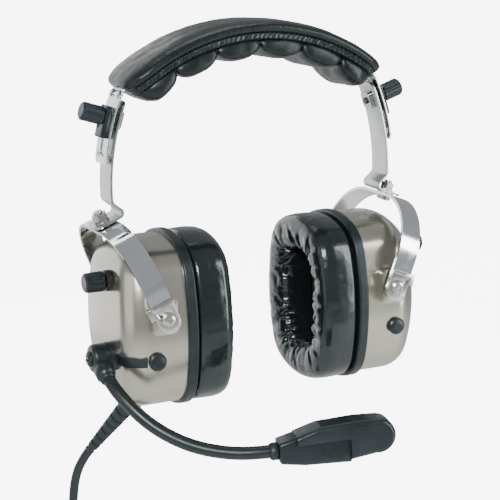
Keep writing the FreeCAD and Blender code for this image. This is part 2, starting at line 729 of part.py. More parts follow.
def make_boom_screw():
    """Shoulder screw that the boom swings on."""
    start = boom_face_x + 3.45
    profile = [(0.0, 2.5), (9.4, 2.5), (9.4, 4.4), (10.4, 4.2), (11.2, 2.8)]
    screw = turned(profile, V(start, BOOM_Y, BOOM_Z), V(1, 0, 0))
    slot = Part.makeBox(1.4, 10.0, 1.1, V(start + 10.3, BOOM_Y - 5.0, BOOM_Z - 0.55))
    return screw.cut(slot)


def make_boom_swivel():
    """Rounded swivel head with the boom's socket."""
    hub = Part.makeCylinder(8.2, 9.2, V(boom_face_x + 3.5, BOOM_Y, BOOM_Z), V(1, 0, 0))
    hub = fillet_where(hub, 2.6, lambda edge: edge.BoundBox.XMin > boom_face_x + 12.0)
    socket = cylinder(4.4, boom_centre, boom_centre + boom_out * 15.0)
    socket = fillet_where(socket, 0.4, lambda edge: near_point(edge, boom_centre + boom_out * 15.0, 1.0))
    body = hub.fuse(socket).removeSplitter()
    body = body.cut(cylinder(BOLT_R + RUN_GAP, V(boom_face_x, BOOM_Y, BOOM_Z), V(boom_face_x + 20, BOOM_Y, BOOM_Z)))
    return body.cut(cylinder(BOOM_R, boom_centre + boom_out * 8.4, boom_centre + boom_out * 20.0))


def make_boom_lead_cover():
    """Low rib round the shell's front corner that covers the microphone wire."""
    band = dome_solid(1.1).cut(dome_outer)
    rib = band.common(box(PLUG_X + 5.6, 60.0, -60.0, BOOM_Y - 5.0, BOOM_Z - 2.8, BOOM_Z + 2.8))
    return rib.cut(make_boom_base())


mic_up = V(0.0, 0.0, 1.0) - mic_axis * mic_axis.z
mic_up.normalize()
mic_side = mic_axis.cross(mic_up)


def on_mic(shape):
    """Places a shape drawn with X along the microphone, Y to its side and Z up."""
    side = mic_up.cross(mic_axis)
    matrix = FreeCAD.Matrix(
        mic_axis.x, side.x, mic_up.x, mic_start.x,
        mic_axis.y, side.y, mic_up.y, mic_start.y,
        mic_axis.z, side.z, mic_up.z, mic_start.z,
        0.0, 0.0, 0.0, 1.0,
    )
    copy = shape.copy()
    copy.Placement = FreeCAD.Placement(matrix).multiply(copy.Placement)
    return copy


def side_profile(outline, width):
    """Prism of a closed outline of lines and arcs in XZ, centred across Y."""
    edges = []
    for piece in outline:
        places = [V(x, -width / 2.0, z) for x, z in piece]
        if len(places) == 2:
            edges.append(Part.makeLine(places[0], places[1]))
        else:
            edges.append(Part.Arc(places[0], places[1], places[2]).toShape())
    return Part.Face(Part.Wire(edges)).extrude(V(0.0, width, 0.0))


def is_outside(edge, half_width, step_z, step_xs):
    """Whether an edge is on a side face and away from where holder and capsule meet."""
    bounds = edge.BoundBox
    beside = bounds.YLength < 0.05 and abs(abs(bounds.Center.y) - half_width) < 0.05
    flat = bounds.ZLength < 0.05 and abs(bounds.ZMin - step_z) < 0.05
    upright = bounds.XLength < 0.05 and any(abs(bounds.XMin - x) < 0.05 for x in step_xs)
    return beside and not flat and not upright


def make_mic_sleeve():
    """Wedge-shaped holder on the boom's end."""
    outline = [
        [(0.0, -6.2), (14.0, -8.8)],
        [(14.0, -8.8), (39.5, -10.4)],
        [(39.5, -10.4), (39.5, 3.4)],
        [(39.5, 3.4), (10.0, 3.4)],
        [(10.0, 3.4), (10.0, 8.0)],
        [(10.0, 8.0), (0.0, 5.6)],
        [(0.0, 5.6), (0.0, -6.2)],
    ]
    wedge = side_profile(outline, 14.0)
    wedge = fillet_where(wedge, 2.4, lambda edge: edge.BoundBox.ZMax < -6.0 and edge.BoundBox.YLength < 0.1)
    wedge = fillet_where(wedge, MIC_EDGE_R, lambda edge: is_outside(edge, 7.0, 3.4, (10.0, 39.5)))
    return wedge.cut(cylinder(BOOM_R + RUN_GAP, V(-2, 0, 0), V(9.3, 0, 0)))


def make_mic_capsule():
    """Capsule housing above the holder, with the rounded head beyond it."""
    outline = [
        [(10.1, 3.5), (39.6, 3.5)],
        [(39.6, 3.5), (39.6, -9.0)],
        [(39.6, -9.0), (54.0, -7.4)],
        [(54.0, -7.4), (65.5, 1.8), (56.0, 12.0)],
        [(56.0, 12.0), (44.0, 12.8)],
        [(44.0, 12.8), (24.0, 12.2)],
        [(24.0, 12.2), (10.1, 8.2)],
        [(10.1, 8.2), (10.1, 3.5)],
    ]
    body = side_profile(outline, 16.0)
    body = fillet_where(body, 3.2, lambda edge: edge.BoundBox.XMax > 45.0 and edge.BoundBox.YLength < 0.1)
    return fillet_where(body, MIC_EDGE_R, lambda edge: is_outside(edge, 8.0, 3.5, (10.1, 39.6)))


def make_mic_grille():
    """Perforated disc over the capsule, on the side towards the mouth."""
    outward = V(0, -1, 0)
    disc = Part.makeCylinder(6.2, 1.0, V(53.0, -8.02, 2.4), outward)
    for ring, count in ((0.0, 1), (2.2, 6), (4.4, 12)):
        for index in range(count):
            angle = 2.0 * math.pi * index / count
            centre = V(53.0 + ring * math.cos(angle), -7.5, 2.4 + ring * math.sin(angle))
            disc = disc.cut(Part.makeCylinder(0.55, 3.0, centre, outward))
    return disc


# ---------------------------------------------------------------- lead

def make_relief(start, tip):
    """Tapered strain relief with ring grooves, solid for strength at its root."""
    length = (tip - start).Length
    profile = [(0.0, 6.4), (5.0, 6.4), (6.0, 5.4)]
    rings = 7
    pitch = (length - 7.5) / rings
    for index in range(rings):
        along = 6.5 + pitch * index
        radius = 5.3 - 0.33 * index
        profile += [(along, radius), (along + pitch * 0.62, radius - 0.15), (along + pitch * 0.7, radius - 1.0)]
        profile.append((along + pitch * 0.95, radius - 1.0))
    profile.append((length, LEAD_R + 0.3))
    return turned(profile, start, tip - start)


def make_coil():
    return Part.makeTorus(COIL_R, COIL_BUNDLE_R, COIL_CENTRE, V(0, 1, 0))


def make_coil_tie():
    """Strap round the turns, where the lead comes in."""
    centre = COIL_CENTRE + V(COIL_R, 0, 0)
    outer = Part.makeCylinder(COIL_BUNDLE_R + 1.3, 12.0, centre - V(0, 0, 6.0), V(0, 0, 1))
    return outer.cut(Part.makeTorus(COIL_R, COIL_BUNDLE_R + 0.05, COIL_CENTRE, V(0, 1, 0)))


def make_junction():
    """Moulded junction of the main lead and the two branches."""
    top = V(TAIL_ROUTE[-1][0], TAIL_ROUTE[-1][1], TAIL_ROUTE[-1][2])
    neck = turned([(0.0, 4.0), (6.0, 5.2), (9.0, 5.6)], top, V(0, 0, -1))
    body = box(top.x - 8.4, top.x + 8.4, top.y - 4.6, top.y + 4.6, top.z - 25.0, top.z - 7.0)
    body = fillet_where(body, 3.6, lambda edge: edge.BoundBox.ZLength > 5.0)
    return neck.fuse(body).removeSplitter()


def make_plug_parts(tip, radius):
    """Plug body with its own tapered sleeve, and the metal shank with its rings."""
    start = V(tip[0], tip[1], tip[2])
    body = turned([(0.0, 2.9), (12.0, 4.4), (12.0, 6.3), (14.0, 6.8), (42.0, 6.8), (44.0, 6.0)], start, V(0, 0, -1))
    shank = [(44.0, radius + 1.4), (46.0, radius + 1.4), (46.0, radius), (64.0, radius), (64.6, radius - 0.5)]
    shank += [(65.4, radius - 0.5), (66.0, radius), (69.0, radius), (70.0, radius - 1.1), (71.2, radius - 1.1)]
    shank += [(73.0, radius - 0.3), (76.0, 0.9)]
    return body, turned(shank, start, V(0, 0, -1))


# ---------------------------------------------------------------- write the parts

def save(name, shapes):
    """Writes one node; several shapes make a group of separate solids."""
    if not isinstance(shapes, list):
        shapes = [shapes]
    solids = []
    for shape in shapes:
        solids += shape.Solids
    for solid in solids:
        if not solid.isValid() or solid.Volume <= 0.0:
            print("BAD", name, solid.isValid(), solid.Volume)
    whole = solids[0] if len(solids) == 1 else Part.makeCompound(solids)
    whole.exportStep("parts/" + name + ".step")
    print(name, len(solids), round(sum(solid.Volume for solid in solids)))


def mirrored(shapes):
    return [shape.mirror(V(0, 0, 0), V(1, 0, 0)) for shape in shapes]


def save_pair(name, shapes, place):
    """Places a part on the +X side, and its mirror image on the -X side."""
    if not isinstance(shapes, list):
        shapes = [shapes]
    placed = [place(shape) for shape in shapes]
    save("left_" + name, placed)
    save("right_" + name, mirrored(placed))


def on_cup(shape):
    copy = shape.copy()
    copy.Placement = FreeCAD.Placement(cup_origin, FreeCAD.Rotation()).multiply(copy.Placement)
    return copy


def as_drawn(shape):
    return shape


headband = make_headband()
for cutter in band_cuts() + [band_corner_cuts()] + make_pad_rivet_holes():
    headband = headband.cut(cutter).cut(cutter.mirror(V(0, 0, 0), V(1, 0, 0)))
save("headband_spring", headband)
save("headpad_top", make_pad_top())
save("headpad_cushion", make_pad_cushion())
pad_rivets = make_pad_rivets()
save("headpad_rivets", pad_rivets + mirrored(pad_rivets))

save_pair("slide_arm", make_slide_arm(), as_drawn)
clamp_spacer, clamp_keeper, clamp_nut_plate, clamp_knob = make_clamp_parts()
save_pair("clamp_spacer", clamp_spacer, as_drawn)
save_pair("clamp_keeper", clamp_keeper, as_drawn)
save_pair("clamp_nut_plate", clamp_nut_plate, as_drawn)
save_pair("clamp_knob", clamp_knob, as_drawn)

save_pair("yoke", make_yoke(), on_yoke)
save_pair("yoke_bolt", make_yoke_bolt(), on_yoke)
save_pair("pivot_clips", make_pivot_clips(), on_yoke)

RELIEF_EXIT = V(22.0, 0.0, -CUP_HALF_HEIGHT + DOME_INSET)
relief_start = on_cup(Part.Vertex(RELIEF_EXIT)).Point
relief_start = V(-relief_start.x, relief_start.y, relief_start.z)
relief_tip = V(LEAD_ROUTE[0][0], LEAD_ROUTE[0][1], LEAD_ROUTE[0][2])
relief_axis = relief_tip - relief_start
relief_axis.normalize()

dome = make_dome()
save("left_dome", on_cup(dome))
right_dome = mirrored([on_cup(dome)])[0]
save("right_dome", right_dome)
save_pair("flange", make_flange(), on_cup)
save_pair("ear_seal", make_seal(), on_cup)
save_pair("speaker", make_speaker(), on_cup)
save_pair("filter_foam", make_filter_foam(), on_cup)
save_pair("shell_liner", make_liner(), on_cup)
save_pair("pivot_brackets", make_brackets(), on_cup)
save_pair("pivot_screws", make_pivot_screws(), on_cup)
save_pair("volume_control", make_volume_pot(), on_cup)
save_pair("volume_knob", make_volume_knob(), on_cup)
save_pair("blanking_plug", make_plug(), on_cup)

save("boom_base", mirrored([on_cup(make_boom_base())]))
save("boom_pivot_screw", mirrored([on_cup(make_boom_screw())]))
save("boom_swivel", mirrored([on_cup(make_boom_swivel())]))
save("boom_tube", mirrored([on_cup(tube(BOOM_ROUTE, BOOM_R, "boom_tube"))]))
save("boom_wire_cover", mirrored([on_cup(make_boom_lead_cover())]))
save("mic_sleeve", mirrored([on_cup(on_mic(make_mic_sleeve()))]))
save("mic_capsule", mirrored([on_cup(on_mic(make_mic_capsule()))]))
save("mic_grille", mirrored([on_cup(on_mic(make_mic_grille()))]))

relief = make_relief(relief_start - relief_axis * 4.0, relief_tip)
relief = relief.cut(mirrored([on_cup(dome_outer)])[0])
save("strain_relief", relief)
coil = make_coil()
lead_points = [V(x, y, z) for x, y, z in LEAD_ROUTE]
tail_points = [V(x, y, z) for x, y, z in TAIL_ROUTE]
save("lead_run", tube(lead_points, LEAD_R, "lead_run").cut(coil).cut(relief))
save("lead_coil", coil)
save("coil_tie", make_coil_tie())
junction = make_junction()
save("lead_tail", tube(tail_points, LEAD_R, "lead_tail").cut(coil).cut(junction))
save("y_junction", junction)
plug_bodies = []
plug_shanks = []
for branch, shank_r in (("headphone", 3.15), ("microphone", 2.6)):
    points = [V(x, y, z) for x, y, z in BRANCH_ROUTES[branch]]
    plug_body, plug_shank = make_plug_parts(BRANCH_ROUTES[branch][-1], shank_r)
    branch_tube = tube(points, BRANCH_R, "branch_" + branch)
    save("branch_" + branch, branch_tube.cut(junction).cut(plug_body))
    plug_bodies.append(plug_body)
    plug_shanks.append(plug_shank)
save("plug_bodies", plug_bodies)
save("plug_shanks", plug_shanks)

print("leg centre", leg_centre)
print("foot hole", foot_hole, "crown", crown_centre)
print("pivot", pivot_point, "cup origin", cup_origin)
print("relief", relief_start, relief_tip, "length", round((relief_tip - relief_start).Length, 1))
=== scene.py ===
import json
import math

import bpy
from mathutils import Matrix, Vector, noise


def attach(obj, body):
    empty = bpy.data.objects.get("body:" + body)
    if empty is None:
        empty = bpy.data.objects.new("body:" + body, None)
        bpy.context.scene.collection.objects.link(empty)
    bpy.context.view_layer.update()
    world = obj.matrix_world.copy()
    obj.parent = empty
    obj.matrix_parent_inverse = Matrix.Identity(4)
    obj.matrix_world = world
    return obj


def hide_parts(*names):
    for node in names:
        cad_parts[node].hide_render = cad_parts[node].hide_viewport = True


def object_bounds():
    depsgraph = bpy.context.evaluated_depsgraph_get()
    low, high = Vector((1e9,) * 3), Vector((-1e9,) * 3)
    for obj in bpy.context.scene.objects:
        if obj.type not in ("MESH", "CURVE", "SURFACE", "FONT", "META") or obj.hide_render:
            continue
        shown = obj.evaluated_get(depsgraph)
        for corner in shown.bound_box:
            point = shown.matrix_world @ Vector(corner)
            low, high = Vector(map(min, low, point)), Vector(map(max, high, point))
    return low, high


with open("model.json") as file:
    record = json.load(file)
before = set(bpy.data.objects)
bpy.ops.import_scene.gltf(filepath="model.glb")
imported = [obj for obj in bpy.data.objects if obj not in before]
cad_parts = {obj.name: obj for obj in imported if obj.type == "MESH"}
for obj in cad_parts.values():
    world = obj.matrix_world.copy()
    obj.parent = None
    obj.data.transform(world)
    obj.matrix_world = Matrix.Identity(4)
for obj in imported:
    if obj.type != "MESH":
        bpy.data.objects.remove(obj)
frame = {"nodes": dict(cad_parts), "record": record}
cad_low, cad_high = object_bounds()
nodes = frame["nodes"]
scene = bpy.context.scene
MM = 0.001

# ----------------- sizes and routes in millimetres, most of them as in the CAD

BAND_TOP_Z = 18.1
TOP_R = 120.0
SHOULDER_R = 32.0
LEG_R = 131.5
LEG_REACH = 91.5
JOIN_ANGLE = 22.5
CUP_HALF_WIDTH = 40.0
CUP_HALF_HEIGHT = 50.0
CUP_SIDE_R = 110.0
CUP_END_R = 60.0
CUP_CORNER_R = 23.0
CUP_ORIGIN = Vector((57.079, 0.0, -144.990))
BOOM_FACE = 37.4
BOOM_SIDE = Vector((BOOM_FACE + 8.0, -15.0, -15.0))
BOOM_DIP = math.radians(27.0)
BOOM_OUT = Vector((0.0, -math.cos(BOOM_DIP), -math.sin(BOOM_DIP)))
MIC_AXIS = Vector((-0.965, -0.235, 0.055)).normalized()
MIC_START = Vector((-30.0, -88.0, -59.5))
BOOM_ROUTE = [
    BOOM_SIDE + BOOM_OUT * 8.4,
    BOOM_SIDE + BOOM_OUT * 20.8,
    Vector((39.5, -46.0, -35.0)),
    Vector((28.5, -57.5, -47.0)),
    Vector((12.5, -69.0, -56.0)),
    Vector((-6.0, -79.0, -60.0)),
    MIC_START - MIC_AXIS * 7.0,
    MIC_START + MIC_AXIS * 9.0,
]
BOOM_DIAMETER = 7.4
LEAD_DIAMETER = 5.5
BRANCH_DIAMETER = 4.0
COIL_CENTRE = Vector((-75.5, 36.0, -315.0))
COIL_R = 30.0
COIL_TURNS = 6
COIL_STEPS = 18
LEAD_ROUTE = [
    (-97.0, 25.0, -228.0),
    (-101.0, 30.4, -236.2),
    (-104.4, 34.6, -249.0),
    (-105.9, 36.4, -267.0),
    (-106.8, 38.0, -290.0),
]
TAIL_ROUTE = [
    (-107.6, 34.6, -334.0),
    (-105.4, 36.2, -351.0),
    (-105.5, 36.0, -365.0),
]
BRANCH_ROUTES = {
    "headphone": [
        (-109.6, 36.0, -390.0),
        (-111.6, 36.3, -403.0),
        (-115.6, 36.0, -420.0),
        (-117.6, 35.6, -435.0),
        (-117.9, 35.8, -448.0),
    ],
    "microphone": [
        (-101.4, 36.0, -390.0),
        (-99.6, 35.8, -402.0),
        (-96.2, 36.2, -417.0),
        (-94.4, 36.4, -432.0),
        (-94.2, 36.0, -445.0),
    ],
}

# ---------------------------------------------------------------------- camera

VIEW_AZIMUTH = -24.6
VIEW_ELEVATION = 12.5
VIEW_ROLL = -1.36
VIEW_DISTANCE = 0.85
VIEW_WIDTH = 0.287
SENSOR_WIDTH = 36.0
TARGET_RIGHT = 0.0022
TARGET_UP = -0.1099


def make_camera():
    """Camera at the photo's direction and distance, upright but for a small roll."""
    data = bpy.data.cameras.new("camera")
    camera = bpy.data.objects.new("camera", data)
    scene.collection.objects.link(camera)
    a = math.radians(VIEW_AZIMUTH)
    e = math.radians(VIEW_ELEVATION)
    r = math.radians(VIEW_ROLL)
    back = Vector((math.sin(a) * math.cos(e), -math.cos(a) * math.cos(e), math.sin(e)))
    right = Vector((math.cos(a), math.sin(a), 0.0))
    up = back.cross(right)
    right_rolled = right * math.cos(r) + up * math.sin(r)
    up_rolled = up * math.cos(r) - right * math.sin(r)
    target = right_rolled * TARGET_RIGHT + up_rolled * TARGET_UP
    place = target + back * VIEW_DISTANCE
    rotation = Matrix((right_rolled, up_rolled, back)).transposed()
    camera.matrix_world = Matrix.Translation(place) @ rotation.to_4x4()
    data.sensor_width = SENSOR_WIDTH
    data.lens = data.sensor_width * VIEW_DISTANCE / VIEW_WIDTH
    data.clip_start = 0.05
    data.clip_end = 20.0
    scene.camera = camera


make_camera()

# ------------------------------------------------------------------- materials


def node_of(tree, kind, **values):
    """New shader node with these settings."""
    made = tree.nodes.new(kind)
    for key, value in values.items():
        setattr(made, key, value)
    return made


def noise_at(tree, coords, scale, detail=4.0, rough=0.55, stretch=None):
    """Factor output of a noise texture in object space; scale is in features per metre."""
    source = coords.outputs["Object"]
    if stretch:
        mapping = node_of(tree, "ShaderNodeMapping")
        mapping.inputs["Scale"].default_value = stretch
        tree.links.new(source, mapping.inputs["Vector"])
        source = mapping.outputs["Vector"]
    texture = node_of(tree, "ShaderNodeTexNoise")
    texture.inputs["Scale"].default_value = scale
    texture.inputs["Detail"].default_value = detail
    texture.inputs["Roughness"].default_value = rough
    tree.links.new(source, texture.inputs["Vector"])
    return texture.outputs["Fac"]


def cells_at(tree, coords, scale):
    """Distance to the nearest cell's edge in object space, for grained skins and foam."""
    texture = node_of(tree, "ShaderNodeTexVoronoi", feature="DISTANCE_TO_EDGE")
    texture.inputs["Scale"].default_value = scale
    tree.links.new(coords.outputs["Object"], texture.inputs["Vector"])
    return texture.outputs["Distance"]


def ramp(tree, factor, low, high, out_low=0.0, out_high=1.0):
    """Output of a map range node that takes low to high into out_low to out_high."""
    made = node_of(tree, "ShaderNodeMapRange")
    made.inputs["From Min"].default_value = low
    made.inputs["From Max"].default_value = high
    made.inputs["To Min"].default_value = out_low
    made.inputs["To Max"].default_value = out_high
    tree.links.new(factor, made.inputs["Value"])
    return made.outputs["Result"]


def make_material(
    name, color, second, metallic, roughness, bumps, mottle=60.0, smudge=220.0, **more
):
    """Principled material whose colour, roughness and height all vary with noise.

    bumps is a list of (kind, features per metre, depth in mm, stretch). mottle and smudge are the
    features per metre of the colour and the roughness.
    """
    material = bpy.data.materials.new(name)
    material.use_nodes = True
    tree = material.node_tree
    shader = tree.nodes["Principled BSDF"]
    coords = node_of(tree, "ShaderNodeTexCoord")
    mix = node_of(tree, "ShaderNodeMix", data_type="RGBA")
    mix.inputs[6].default_value = (*color, 1.0)
    mix.inputs[7].default_value = (*second, 1.0)
    tree.links.new(ramp(tree, noise_at(tree, coords, mottle), 0.3, 0.7), mix.inputs[0])
    tree.links.new(mix.outputs[2], shader.inputs["Base Color"])
    shader.inputs["Metallic"].default_value = metallic
    uneven = noise_at(tree, coords, smudge, 6.0, 0.6)
    tree.links.new(ramp(tree, uneven, 0.3, 0.7, *roughness), shader.inputs["Roughness"])
    for key, value in more.items():
        shader.inputs[key.replace("_", " ")].default_value = value
    normal = None
    for kind, size, depth, stretch in bumps:
        if kind == "cells":
            height = ramp(tree, cells_at(tree, coords, size), 0.0, 0.35)
        else:
            height = noise_at(tree, coords, size, 5.0, 0.6, stretch)
        bump = node_of(tree, "ShaderNodeBump")
        bump.inputs["Strength"].default_value = 1.0
        bump.inputs["Distance"].default_value = depth * MM
        tree.links.new(height, bump.inputs["Height"])
        if normal is not None:
            tree.links.new(normal, bump.inputs["Normal"])
        normal = bump.outputs["Normal"]
    if normal is not None:
        tree.links.new(normal, shader.inputs["Normal"])
    return material


COOL_SHEEN = (0.86, 0.97, 1.0, 1.0)
MATERIALS = {
    "champagne_shell": make_material(
        "champagne_shell", (0.43, 0.415, 0.35), (0.46, 0.445, 0.38), 0.92, (0.22, 0.255),
        [("noise", 3200.0, 0.0018, None), ("noise", 45.0, 0.012, None)],
        Coat_Weight=0.2, Coat_Roughness=0.1,
    ),
    "chromed_steel": make_material(
        "chromed_steel", (0.78, 0.80, 0.82), (0.70, 0.72, 0.75), 1.0, (0.05, 0.16),
        [("noise", 500.0, 0.0012, (1.0, 1.0, 0.12))],
    ),
    "satin_steel": make_material(
        "satin_steel", (0.50, 0.54, 0.50), (0.42, 0.47, 0.44), 1.0, (0.2, 0.32),
        [("noise", 1600.0, 0.006, (1.0, 1.0, 0.06))],
    ),
    "zinc_steel": make_material(
        "zinc_steel", (0.60, 0.60, 0.58), (0.42, 0.42, 0.42), 1.0, (0.18, 0.34),
        [("noise", 1500.0, 0.008, None)],
    ),
    "satin_aluminium": make_material(
        "satin_aluminium", (0.66, 0.65, 0.60), (0.52, 0.51, 0.48), 1.0, (0.14, 0.28),
        [("noise", 900.0, 0.012, (1.0, 0.2, 1.0))],
    ),
    "black_steel": make_material(
        "black_steel", (0.020, 0.023, 0.024), (0.035, 0.037, 0.038), 0.6, (0.3, 0.45),
        [("noise", 1500.0, 0.01, None)],
    ),
    "black_vinyl": make_material(
        "black_vinyl", (0.006, 0.008, 0.009), (0.010, 0.013, 0.014), 0.0, (0.11, 0.24),
        [("noise", 170.0, 0.22, None), ("cells", 1500.0, 0.012, None)],
        Coat_Weight=0.25, Coat_Roughness=0.08, Specular_Tint=COOL_SHEEN,
    ),
    "black_leather": make_material(
        "black_leather", (0.005, 0.007, 0.007), (0.010, 0.013, 0.013), 0.0, (0.24, 0.38),
        [("noise", 150.0, 0.16, None), ("cells", 1100.0, 0.03, None)],
        Specular_IOR_Level=0.36, Specular_Tint=COOL_SHEEN,
    ),
    "black_plastic": make_material(
        "black_plastic", (0.005, 0.008, 0.010), (0.011, 0.016, 0.018), 0.0, (0.28, 0.42),
        [("noise", 2200.0, 0.02, None)],
        Specular_Tint=COOL_SHEEN,
    ),
    "black_rubber": make_material(
        "black_rubber", (0.007, 0.011, 0.012), (0.014, 0.020, 0.022), 0.0, (0.42, 0.6),
        [("noise", 1500.0, 0.03, None)],
        Specular_Tint=COOL_SHEEN,
    ),
    "black_cable_jacket": make_material(
        "black_cable_jacket", (0.006, 0.009, 0.010), (0.012, 0.016, 0.018), 0.0, (0.26, 0.40),
        [("noise", 1200.0, 0.02, None)],
        Specular_Tint=COOL_SHEEN,
    ),
    "black_fabric": make_material(
        "black_fabric", (0.010, 0.011, 0.011), (0.025, 0.026, 0.026), 0.0, (0.8, 0.95),
        [("noise", 2600.0, 0.25, None)],
        Sheen_Weight=0.3,
    ),
    "grey_foam": make_material(
        "grey_foam", (0.008, 0.008, 0.009), (0.02, 0.02, 0.022), 0.0, (0.9, 1.0),
        [("cells", 700.0, 0.4, None)],
    ),
    "nickel_brass": make_material(
        "nickel_brass", (0.66, 0.61, 0.5), (0.56, 0.52, 0.43), 1.0, (0.12, 0.26),
        [("noise", 900.0, 0.006, None)],
    ),
}


def finish_piece(obj, slot):
    """Give an object its slot's material and no other."""
    obj.data.materials.clear()
    obj.data.materials.append(MATERIALS[slot])


slot_of = {row["node"]: row["material_slot"] for row in frame["record"]["subparts"]}
SHARP = math.radians(32.0)
WELD_DISTANCE = 0.002
BEVEL_STEPS = 3
BEVELS = {
    "mic_sleeve": 1.6,
    "mic_capsule": 2.2,
    "headband_spring": 0.25,
    "coil_tie": 0.4,
    "boom_swivel": 0.3,
}
BEVELS_EACH_SIDE = {
    "slide_arm": 0.35,
    "clamp_keeper": 0.7,
    "clamp_spacer": 0.4,
    "pivot_clips": 0.3,
    "pivot_brackets": 0.5,
}
for piece, width in BEVELS_EACH_SIDE.items():
    BEVELS["left_" + piece] = width
    BEVELS["right_" + piece] = width

for node, obj in nodes.items():
    finish_piece(obj, slot_of[node])
    for polygon in obj.data.polygons:
        polygon.use_smooth = True
    if node in BEVELS:
        weld = obj.modifiers.new("weld", "WELD")
        weld.merge_threshold = WELD_DISTANCE * MM
        bevel = obj.modifiers.new("bevel", "BEVEL")
        bevel.width = BEVELS[node] * MM
        bevel.segments = BEVEL_STEPS
        bevel.limit_method = "ANGLE"
        bevel.angle_limit = SHARP
        bevel.harden_normals = True

# ------------------------------------------------------ helpers for new pieces


def mesh_piece(name, points, faces, slot, body):
    """New smooth mesh piece from points in millimetres, riding on a body."""
    mesh = bpy.data.meshes.new(name)
    mesh.from_pydata([Vector(p) * MM for p in points], [], faces)
    mesh.update()
    obj = bpy.data.objects.new(name, mesh)
    scene.collection.objects.link(obj)
    for polygon in mesh.polygons:
        polygon.use_smooth = True
    finish_piece(obj, slot)
    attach(obj, body)
    return obj


def grid_faces(rows, columns, close_rows=False):
    """Quads between rows of points, each row a loop of that many columns."""
    faces = []
    for i in range(rows if close_rows else rows - 1):
        for j in range(columns):
            a = i * columns + j
            b = i * columns + (j + 1) % columns
            c = ((i + 1) % rows) * columns + (j + 1) % columns
            d = ((i + 1) % rows) * columns + j
            faces.append((a, b, c, d))
    return faces


def capped_faces(rows, columns):
    """Faces of a tube of rows, closed at both ends."""
    faces = grid_faces(rows, columns)
    faces.append(tuple(range(columns - 1, -1, -1)))
    faces.append(tuple(range((rows - 1) * columns, rows * columns)))
    return faces


def running_lengths(outline):
    """Distance along an open line of points, at each point."""
    lengths = [0.0]
    for a, b in zip(outline, outline[1:]):
        lengths.append(lengths[-1] + math.dist(a, b))
    return lengths


def spline_piece(name, points, diameter, slot, body, resolution=16):
    """Smooth round tube: a quadratic NURBS curve with these control points, in millimetres."""
    curve = bpy.data.curves.new(name, "CURVE")
    curve.dimensions = "3D"
    spline = curve.splines.new("NURBS")
    spline.points.add(len(points) - 1)
    for place, point in zip(spline.points, points):
        place.co = (*(Vector(point) * MM), 1.0)
    spline.order_u = 3
    spline.use_endpoint_u = True
    spline.resolution_u = resolution
    curve.bevel_depth = diameter / 2.0 * MM
    curve.bevel_resolution = 7
    curve.use_fill_caps = True
    obj = bpy.data.objects.new(name, curve)
    scene.collection.objects.link(obj)
    finish_piece(obj, slot)
    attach(obj, body)
    return obj


# ------------------------------------------------------------------------ lead


def coil_points():
    """Control points of the wound turns, each strand beside the last in a bundle of seven."""
    pitch = LEAD_DIAMETER
    wide = pitch * math.cos(math.radians(30.0))
    places = [
        (wide, pitch / 2.0),
        (0.0, pitch),
        (-wide, pitch / 2.0),
        (0.0, 0.0),
        (-wide, -pitch / 2.0),
        (0.0, -pitch),
        (wide, -pitch / 2.0),
    ]
    grow = 2.0 / (1.0 + math.cos(math.pi / COIL_STEPS))
    points = []
    for step in range(COIL_TURNS * COIL_STEPS + 1):
        turn = min(step // COIL_STEPS, COIL_TURNS - 1)
        share = step / COIL_STEPS - turn
        moved = share * COIL_TURNS - (COIL_TURNS - 1 - turn)
        moved = min(max(moved, 0.0), 1.0)
        start, end = places[turn], places[turn + 1]
        out = start[0] + (end[0] - start[0]) * moved
        side = start[1] + (end[1] - start[1]) * moved
        angle = 2.0 * math.pi * step / COIL_STEPS
        radius = (COIL_R + out) * grow
        place = Vector((-radius * math.cos(angle), side, -radius * math.sin(angle)))
        points.append(COIL_CENTRE + place)
    return points


lead_points = [*LEAD_ROUTE, *coil_points(), *TAIL_ROUTE]
lead = spline_piece("lead", lead_points, LEAD_DIAMETER, "black_cable_jacket", "right_cup")
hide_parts("lead_run", "lead_coil", "lead_tail")
for branch, points in BRANCH_ROUTES.items():
    cord = spline_piece(
        "branch_" + branch + "_lead", points, BRANCH_DIAMETER, "black_cable_jacket", "right_cup"
    )
    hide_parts("branch_" + branch)

# ------------------------------------------------------------------------ boom

COLLAR_BORE_R = 3.75
TURNED_STEPS = 48


def on_boom_side(point):
    """A point of the +X cup, given from the shell's mouth, on the -X cup that carries the boom."""
    world = CUP_ORIGIN + point
    return Vector((-world.x, world.y, world.z))


boom_points = [on_boom_side(p) for p in BOOM_ROUTE]
boom = spline_piece(
    "gooseneck", boom_points, BOOM_DIAMETER, "black_cable_jacket", "boom", resolution=24
)
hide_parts("boom_tube")


def turned_piece(name, profile, start, axis, slot):
    """Turned piece on the boom: profile rows of (distance along the axis, radius), from start."""
    axis = axis.normalized()
    side = axis.orthogonal().normalized()
    other = axis.cross(side)
    points = []
    for along, radius in profile:
        for k in range(TURNED_STEPS):
            angle = 2.0 * math.pi * k / TURNED_STEPS
            out = side * math.cos(angle) + other * math.sin(angle)
            points.append(start + axis * along + out * radius)
    mesh_piece(name, points, capped_faces(len(profile), TURNED_STEPS), slot, "boom")


ball_end = boom_points[0]
boom_heading = boom_points[1] - ball_end
turned_piece(
    "boom_root_collar",
    [
        (0.3, COLLAR_BORE_R), (0.3, 5.3), (0.9, 5.7), (6.4, 5.5), (7.2, 5.0), (7.6, 4.5),
        (9.6, 4.4), (10.2, 4.1), (10.4, COLLAR_BORE_R),
    ],
    ball_end, boom_heading, "black_plastic",
)
mic_end = on_boom_side(MIC_START)
mic_heading = on_boom_side(MIC_START - MIC_AXIS) - mic_end
turned_piece(
    "boom_tip_collar",
    [
        (0.2, COLLAR_BORE_R), (0.2, 4.7), (0.7, 5.0), (3.6, 4.8), (4.4, 4.3), (4.6, COLLAR_BORE_R),
    ],
    mic_end, mic_heading, "black_rubber",
)

# ------------------------------------------------------------------- ear seals

